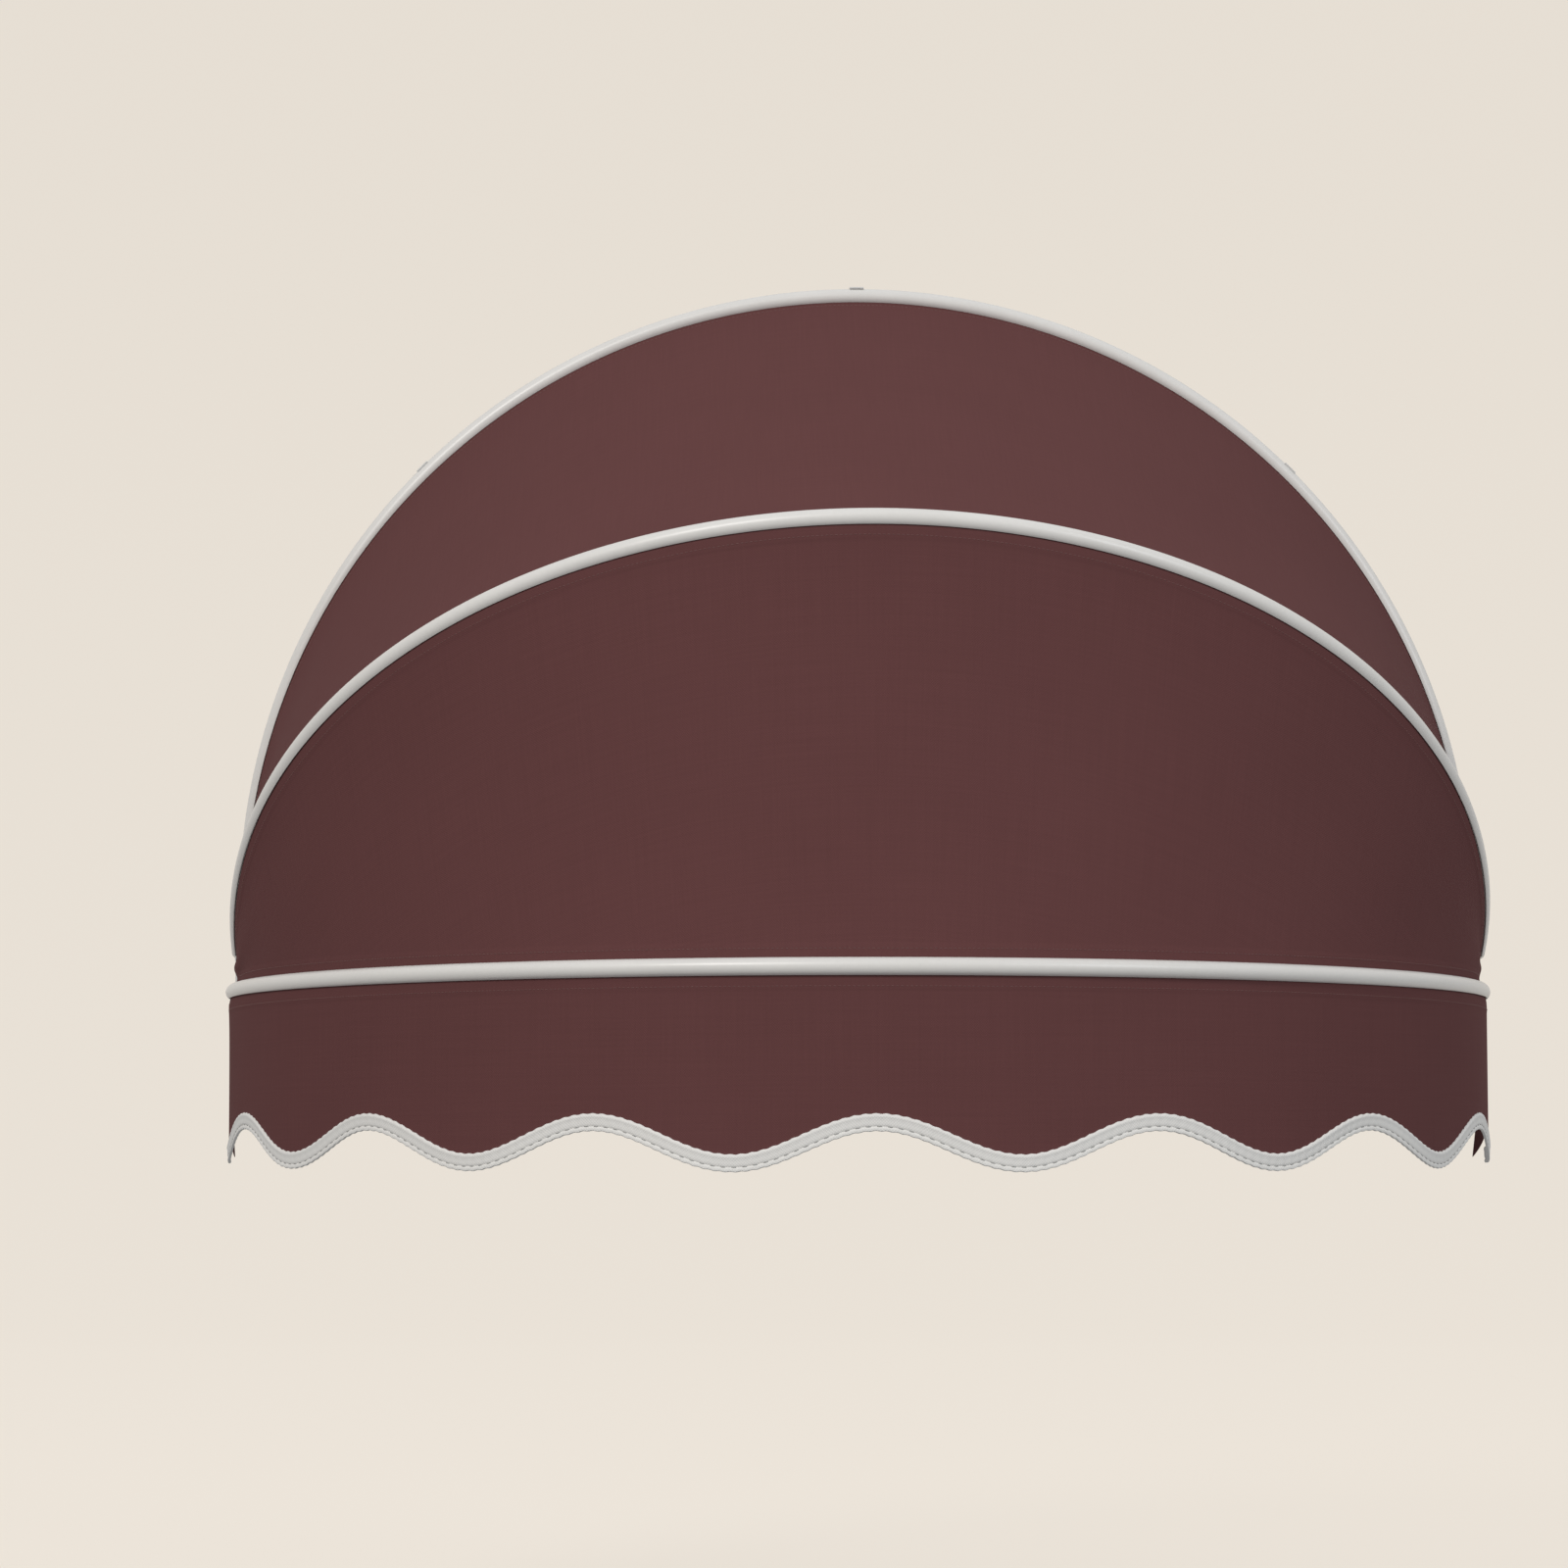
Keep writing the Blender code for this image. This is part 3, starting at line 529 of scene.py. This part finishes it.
class Canopy:
    """Cloth stretched from one hoop to the next, seated in a groove of each. Its outside faces a way."""

    def __init__(self, upper, lower, facing):
        self.edges = (upper, lower)
        self.first = min(upper["start"], lower["start"])
        self.facing = np.array(facing)

    def ends(self, index):
        """Centre of each hoop at one place and the direction of its groove."""
        found = []
        for edge in self.edges:
            place = min(max(index, edge["start"]), HOOP_PLACES - edge["start"])
            centre, _ = edge["hoop"].at(place)
            found.append((centre, edge["hoop"].groove(place, edge["groove"])))
        return found

    def section(self, index, near, far_rows):
        """Points across the cloth at one place: rows near both hoops and even rows between."""
        (first, first_way), (second, second_way) = self.ends(index)
        leave = first + first_way * CLOTH_INSIDE
        arrive = second + second_way * CLOTH_INSIDE
        chord = arrive - leave
        length = float(np.linalg.norm(chord))
        way = chord / length
        between = np.linspace(near[-1] + 0.004, length - near[-1] - 0.004, far_rows)
        distances = np.concatenate((near, between, length - near[::-1]))
        share = distances / length
        angle = pi * index / HOOP_PLACES
        along = np.array((-sin(angle), 0.0, cos(angle)))
        inward = unit(np.cross(way, along))
        middle = (leave + arrive) / 2.0
        if inward @ (np.array((0.0, -0.2, 0.1)) - middle) < 0.0:
            inward = -inward
        inward = unit(inward - way * (inward @ way))
        sag = CANOPY_SAG * 4.0 * share * (1.0 - share) * min(1.0, length / 0.4)
        from_hinge = min(index, HOOP_PLACES - index) / HOOP_PLACES
        pleat = CANOPY_PLEAT * np.exp(-from_hinge / 0.07) * np.sin(3.0 * pi * share) * np.sin(pi * share)
        slack = sum(depth * np.sin(2.0 * pi * (round_turns * index / HOOP_PLACES + across_turns * share))
                    for depth, round_turns, across_turns in CANOPY_SLACK) * np.sin(pi * share)
        points = leave + way * distances[:, None] + inward * (sag + pleat + slack)[:, None]
        for groove_way, measured in ((first_way, distances), (second_way, length - distances)):
            sideways = groove_way - way * (groove_way @ way)
            points = points + sideways * (measured * np.exp(-measured / GROOVE_REACH))[:, None]
        return points, distances, length


def flat_size(grid):
    """Width, length and area of a curved sheet, measured on its surface."""
    along = np.linalg.norm(np.diff(grid, axis=0), axis=2).sum(axis=0)
    across = np.linalg.norm(np.diff(grid, axis=1), axis=2).sum(axis=1)
    first = grid[1:, 1:] - grid[:-1, :-1]
    second = grid[1:, :-1] - grid[:-1, 1:]
    area = 0.5 * np.linalg.norm(np.cross(first, second), axis=2).sum()
    return (round(float(along.max()), 3), round(float(across.max()), 3)), round(float(area), 4)


def hem_profile(distance, length):
    """Extra thickness of the doubled hem at both edges."""
    edge = np.minimum(distance, length - distance)
    return HEM_RISE * np.clip((HEM_WIDTH + 0.003 - edge) / 0.0006, 0.0, 1.0)


def canopy_piece(name, canopy, thread_name):
    """One stretched panel and the stitches of its two hems."""
    near = np.array((0.0, 0.0012, 0.0024, 0.0036, 0.0052, 0.0078, 0.0110, HEM_WIDTH + 0.0023,
                     HEM_WIDTH + 0.0031, HEM_WIDTH + 0.0050))
    hem_row = 6
    ends = canopy.first + np.array((0.0, 0.006, 0.02, 0.05, 0.10, 0.17, 0.22, 0.25))
    between = np.linspace(ends[-1] + 0.15, HOOP_PLACES - ends[-1] - 0.15, CANOPY_STATIONS)
    indices = np.concatenate((ends, between, HOOP_PLACES - ends[::-1]))
    grid = []
    measured = []
    lengths = []
    for index in indices:
        points, distances, length = canopy.section(index, near, CANOPY_ROWS)
        grid.append(points)
        measured.append(distances)
        lengths.append(length)
    grid = np.array(grid)
    measured = np.array(measured)
    lengths = np.array(lengths)
    steps = np.linalg.norm(np.diff(grid[:, grid.shape[1] // 2], axis=0), axis=1)
    run = np.concatenate(([0.0], np.cumsum(steps)))
    uv = np.stack((np.repeat(run[:, None], grid.shape[1], axis=1), measured), axis=2)
    outer = CLOTH_HALF + hem_profile(measured, lengths[:, None])
    end_run = np.minimum(run, run[-1] - run)[:, None]
    outer = np.maximum(outer, CLOTH_HALF + HEM_RISE * np.clip((0.010 - end_run) / 0.001, 0.0, 1.0))
    piece = cloth_solid(name, grid, outer, np.full(outer.shape, CLOTH_HALF), uv, CANVAS)
    blend_by_share(piece)
    normal = unit(np.cross(np.gradient(grid, axis=0), np.gradient(grid, axis=1)))
    if normal[len(grid) // 2, grid.shape[1] // 2] @ canopy.facing < 0.0:
        normal = -normal
    lines = []
    inner = slice(len(ends), -len(ends))
    for row, follows in ((hem_row, 0.0), (grid.shape[1] - 1 - hem_row, 1.0)):
        line = stitch_line(grid[inner, row], normal[inner, row], STITCH_PITCH, STITCH_LENGTH,
                           THREAD_RADIUS, CLOTH_HALF + HEM_RISE)
        lines.append(line)
    threads = stitch_object(thread_name, lines, CANVAS_THREAD)
    blend_by_share(threads)
    return piece, threads, flat_size(grid)


def blend_by_share(piece):
    """Bake the placement of the cloth into its mesh."""
    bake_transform(piece)


def valance_wave(places):
    """Depth of the tape's middle under the hoop and the length of its slant per unit of run."""
    from_middle = (places - FRONT_CLOTH_PLACE) / (HOOP_PLACES - 2.0 * FRONT_CLOTH_PLACE) - 0.5
    phase = pi + 2.0 * pi * WAVE_COUNT * from_middle
    slope = 2.0 * WAVE_HEIGHT * WAVE_COUNT / FRONT_RADIUS * np.sin(phase)
    depth = VALANCE_DROP - VALANCE_LIFT * (2.0 * from_middle) ** 2 + WAVE_HEIGHT * np.cos(phase)
    return depth, np.sqrt(1.0 + slope * slope)


def flutter(places, depth):
    """How far the loose edge of the valance swings out at a depth under the hoop."""
    to_end = np.minimum(places, HOOP_PLACES - places)
    fall = np.clip(depth / VALANCE_DROP, 0.0, 1.3) ** 1.6 * np.clip(to_end / 2.0, 0.0, 1.0)
    swing = sum(height * np.sin(2.0 * pi * (turns * places / HOOP_PLACES + shift))
                for height, turns, shift in FLUTTER_WAVES)
    return FLUTTER * fall * swing


def end_curl(places, depth):
    """How far the loose ends of the valance turn in behind the hinges at a depth under the hoop."""
    run = FRONT_RADIUS * (pi - 2.0 * FRONT.first) / HOOP_PLACES
    right = np.clip(1.0 - (places - VALANCE_END) * run / END_CURL_RUN, 0.0, 1.0) ** 2
    left = np.clip(1.0 - (HOOP_PLACES - VALANCE_END - places) * run / END_CURL_RUN, 0.0, 1.0) ** 2
    fall = np.clip((depth - 0.012) / (VALANCE_DROP - 0.012), 0.0, 1.2) ** 1.2
    return END_CURL * (right + 0.45 * left) * fall


def groove_swing(places, depth):
    """How far outward the groove's lean carries the valance at a depth under the hoop."""
    lean = FRONT.lean(places, VALANCE_GROOVE)
    fall = TUBE_RADIUS * np.cos(lean)
    return -np.tan(lean) * fall * np.tanh(depth / fall)


def valance_point(places, depth):
    """Points of the valance sheet for arrays of places and depths of the same shape."""
    centre, outward = FRONT.at(places)
    swing = groove_swing(places, depth) + flutter(places, depth) - end_curl(places, depth)
    return centre - FRONT.back * depth[..., None] + outward * swing[..., None]


def bound_places(count):
    """Even places along the stretch of the valance that carries the tape."""
    return np.linspace(FRONT_CLOTH_PLACE, HOOP_PLACES - FRONT_CLOTH_PLACE, count)


def valance_places():
    """Places along the whole valance, with its two plain tails."""
    tail = np.linspace(VALANCE_END, FRONT_CLOTH_PLACE - 0.004, 12)
    return np.concatenate((tail, bound_places(VALANCE_STATIONS), HOOP_PLACES - tail[::-1]))


def valance_piece():
    """The hanging cloth with its hem, and the hem's stitches."""
    places = valance_places()
    drop, slant = valance_wave(places)
    to_end = np.minimum(places, HOOP_PLACES - places)
    into_tail = np.clip((FRONT_CLOTH_PLACE - to_end) / (FRONT_CLOTH_PLACE - VALANCE_END), 0.0, 1.0)
    lowest = drop + BINDING_WIDTH / 2.0 * slant - 0.0012
    lowest = lowest - END_CUT * (into_tail > 0.0) * (1.0 - 0.8 * into_tail)
    top = np.array((0.0050, 0.0062, 0.0075, 0.0088, 0.0105, 0.0135, 0.0170, 0.0196, 0.0204, 0.0225))
    below_tube = 0.0062 * np.clip((FRONT_CLOTH_PLACE - to_end) / FRONT_CLOTH_PLACE, 0.0, 1.0)
    rows = [depth + below_tube * (top[-1] - depth) / (top[-1] - top[0]) for depth in top]
    rows += [top[-1] + (lowest - top[-1]) * share
             for share in np.linspace(0.0, 1.0, VALANCE_ROWS)[1:]]
    depth = np.stack(rows, axis=1)
    spread = np.repeat(places[:, None], depth.shape[1], axis=1)
    grid = valance_point(spread, depth)
    run = np.concatenate(([0.0], np.cumsum(np.linalg.norm(np.diff(grid[:, 0], axis=0), axis=1))))
    uv = np.stack((np.repeat(run[:, None], depth.shape[1], axis=1), depth), axis=2)
    outer = CLOTH_HALF + HEM_RISE * np.clip((0.0202 - depth) / 0.0006, 0.0, 1.0)
    piece = cloth_solid("valance_cloth", grid, outer, np.full(outer.shape, CLOTH_HALF), uv, CANVAS)
    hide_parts("valance")
    _, outward = FRONT.at(places)
    path = valance_point(places, np.full(places.shape, VALANCE_SEAM))
    seam = stitch_line(path, outward, STITCH_PITCH, STITCH_LENGTH, THREAD_RADIUS, CLOTH_HALF + HEM_RISE)
    threads = stitch_object("valance_threads", [seam], CANVAS_THREAD)
    return piece, threads, flat_size(grid)


def binding_piece():
    """Ribbed tape folded round the scalloped edge, puckered a little by its stitches."""
    places = bound_places(VALANCE_STATIONS * 3)
    drop, slant = valance_wave(places)
    _, outward = FRONT.at(places)
    middle = valance_point(places, drop)
    run = np.concatenate(([0.0], np.cumsum(np.linalg.norm(np.diff(middle, axis=0), axis=1))))
    pucker = 0.5 + 0.5 * np.cos(2.0 * pi * run / BINDING_STITCH)
    half = BINDING_WIDTH / 2.0
    outline = [(0.45, -1.04, 0.0), (0.95, -0.99, 0.0), (1.36, -0.87, 0.0), (1.50, -0.74, 0.0),
               (1.36, -0.60, 0.0), (1.10, -0.42, 0.10), (1.06, -0.10, 0.16), (1.00, 0.18, 0.14),
               (0.84, 0.34, 0.06), (0.46, 0.46, 0.0), (0.84, 0.58, 0.0), (1.02, 0.74, 0.0),
               (0.84, 0.92, 0.0), (0.36, 1.0, 0.0)]
    outline = outline + [(-a, b, -c) for a, b, c in reversed(outline)]
    rings = []
    lengths = []
    for a, b, c in outline:
        depth = drop + b * half * slant
        if b < -0.8:
            depth = depth - 0.0007 * pucker
        if b > 0.7:
            depth = depth + 0.0006 * (1.0 - pucker)
        point = valance_point(places, depth)
        rings.append(point + outward * (a * BINDING_FACE + c * 0.0016 * (pucker - 0.5))[..., None])
        lengths.append(np.full(places.shape, b * half))
    rings = np.stack(rings, axis=1)
    spread = np.repeat(run[:, None], rings.shape[1], axis=1)
    uv = np.stack((spread, np.stack(lengths, axis=1)), axis=2)
    tape = loft("binding_tape", rings, TAPE, uv=uv)
    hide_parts("valance_binding")
    path = valance_point(places, drop + BINDING_SEAM * half * slant)
    lines = [stitch_line(path + side * BINDING_THREAD_SEAT, side, BINDING_STITCH,
                         BINDING_STITCH_LENGTH, BINDING_THREAD_RADIUS, 0.0)
             for side in (outward, -outward)]
    threads = stitch_object("binding_threads", lines, TAPE_THREAD)
    return tape, threads


def finish_solids():
    """Give the solids that stay visible their finish and soft edges."""
    for name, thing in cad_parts.items():
        thing.data.materials.clear()
        thing.data.materials.append(CAST_PAINT if name.startswith(CAST_PIECES) else STEEL)
        softened = thing.modifiers.new("soft_edges", "BEVEL")
        softened.width = EDGE_ROUNDING
        softened.segments = 2
        softened.limit_method = "ANGLE"
        softened.angle_limit = radians(40.0)
        softened.harden_normals = False


def make_bowl():
    """Pale floor that turns up into a backdrop all round."""
    flat = BOWL_RADIUS - BOWL_FILLET
    profile = [(0.0, 0.0), (flat * 0.5, 0.0), (flat, 0.0)]
    for step in range(1, 13):
        angle = pi / 2.0 * step / 12
        profile.append((flat + BOWL_FILLET * sin(angle), BOWL_FILLET * (1.0 - cos(angle))))
    profile.append((BOWL_RADIUS, BOWL_RADIUS))
    steps = 96
    vertices = [(0.0, 0.0, FLOOR_HEIGHT)]
    faces = []
    for radius, height in profile[1:]:
        for step in range(steps):
            angle = 2.0 * pi * step / steps
            vertices.append((radius * cos(angle), radius * sin(angle), FLOOR_HEIGHT + height))
    for step in range(steps):
        faces.append((0, 1 + step, 1 + (step + 1) % steps))
    for ring in range(len(profile) - 2):
        base = 1 + ring * steps
        for step in range(steps):
            following = (step + 1) % steps
            above = base + steps
            faces.append((base + step, above + step, above + following, base + following))
    mesh = bpy.data.meshes.new("studio_bowl")
    mesh.from_pydata(vertices, [], faces)
    mesh.shade_smooth()
    material = bpy.data.materials.new("studio_paper")
    tree, shader = node_chain(material)
    shader.inputs["Base Color"].default_value = (*PAPER_COLOUR, 1.0)
    shader.inputs["Emission Color"].default_value = (*PAPER_GLOW, 1.0)
    shader.inputs["Emission Strength"].default_value = PAPER_GLOW_LEVEL
    shader.inputs["Roughness"].default_value = 0.95
    shader.inputs["Specular IOR Level"].default_value = 0.1
    bowl = new_object("studio_bowl", mesh, material)
    bowl.visible_diffuse = False
    bowl.visible_shadow = False


def make_light(name, place, size, power, colour):
    data = bpy.data.lights.new(name, "AREA")
    data.shape = "DISK"
    data.size = size
    data.energy = power
    data.color = colour
    lamp = bpy.data.objects.new(name, data)
    lamp.location = place
    lamp.rotation_mode = "QUATERNION"
    lamp.rotation_quaternion = (Vector(LIGHT_AIM) - Vector(place)).to_track_quat("-Z", "Y")
    bpy.context.scene.collection.objects.link(lamp)


def make_world():
    """Soft sky: brighter from above than from below."""
    world = bpy.data.worlds.new("studio_world")
    world.use_nodes = True
    tree = world.node_tree
    background = tree.nodes["Background"]
    background.inputs["Color"].default_value = (*SKY_COLOUR, 1.0)
    direction = tree.nodes.new("ShaderNodeTexCoord").outputs["Generated"]
    split = tree.nodes.new("ShaderNodeSeparateXYZ")
    tree.links.new(direction, split.inputs[0])
    height = math_node(tree, "MULTIPLY", split.outputs["Z"], SKY_SLOPE)
    tree.links.new(math_node(tree, "ADD", height, SKY_LEVEL), background.inputs["Strength"])
    bpy.context.scene.world = world


def make_studio():
    make_world()
    for light in LIGHTS:
        make_light(*light)
    make_bowl()


def make_camera():
    data = bpy.data.cameras.new("photo_camera")
    data.sensor_width = SENSOR
    data.lens = SENSOR * PHOTO_FOCAL / PHOTO_WIDTH
    camera = bpy.data.objects.new("photo_camera", data)
    camera.location = CAMERA_PLACE
    camera.rotation_euler = CAMERA_TURN
    bpy.context.scene.collection.objects.link(camera)
    bpy.context.scene.camera = camera
    bpy.context.scene.view_settings.view_transform = "Standard"


make_camera()
make_studio()
finish_solids()

hoop_tube("wall_tube", WALL, [WALL_GROOVE], "wall_hoop", "wall_frame")
hoop_tube("middle_tube", MIDDLE, [MIDDLE_BACK_GROOVE, MIDDLE_FRONT_GROOVE], "middle_hoop",
          "middle_frame")
hoop_tube("front_tube", FRONT, [FRONT_BACK_GROOVE, VALANCE_GROOVE], "front_hoop", "front_frame")

wall_edge = {"hoop": WALL, "groove": WALL_GROOVE, "start": WALL_CLOTH_PLACE}
middle_back = {"hoop": MIDDLE, "groove": MIDDLE_BACK_GROOVE, "start": MIDDLE_CLOTH_PLACE}
middle_front = {"hoop": MIDDLE, "groove": MIDDLE_FRONT_GROOVE, "start": MIDDLE_CLOTH_PLACE}
front_edge = {"hoop": FRONT, "groove": FRONT_BACK_GROOVE, "start": FRONT_CLOTH_PLACE}
upper, upper_threads, upper_flat = canopy_piece(
    "upper_cloth", Canopy(wall_edge, middle_back, (0.0, -0.5, 0.87)),
    "upper_threads")
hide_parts("upper_canopy")
lower, lower_threads, lower_flat = canopy_piece(
    "front_cloth", Canopy(middle_front, front_edge, (0.0, -1.0, 0.0)),
    "front_threads")
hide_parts("front_canopy")

valance, valance_threads, valance_flat = valance_piece()
tape, tape_threads = binding_piece()
for thing in (valance, valance_threads, tape, tape_threads):
    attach(thing, "front_frame")
    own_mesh(thing)
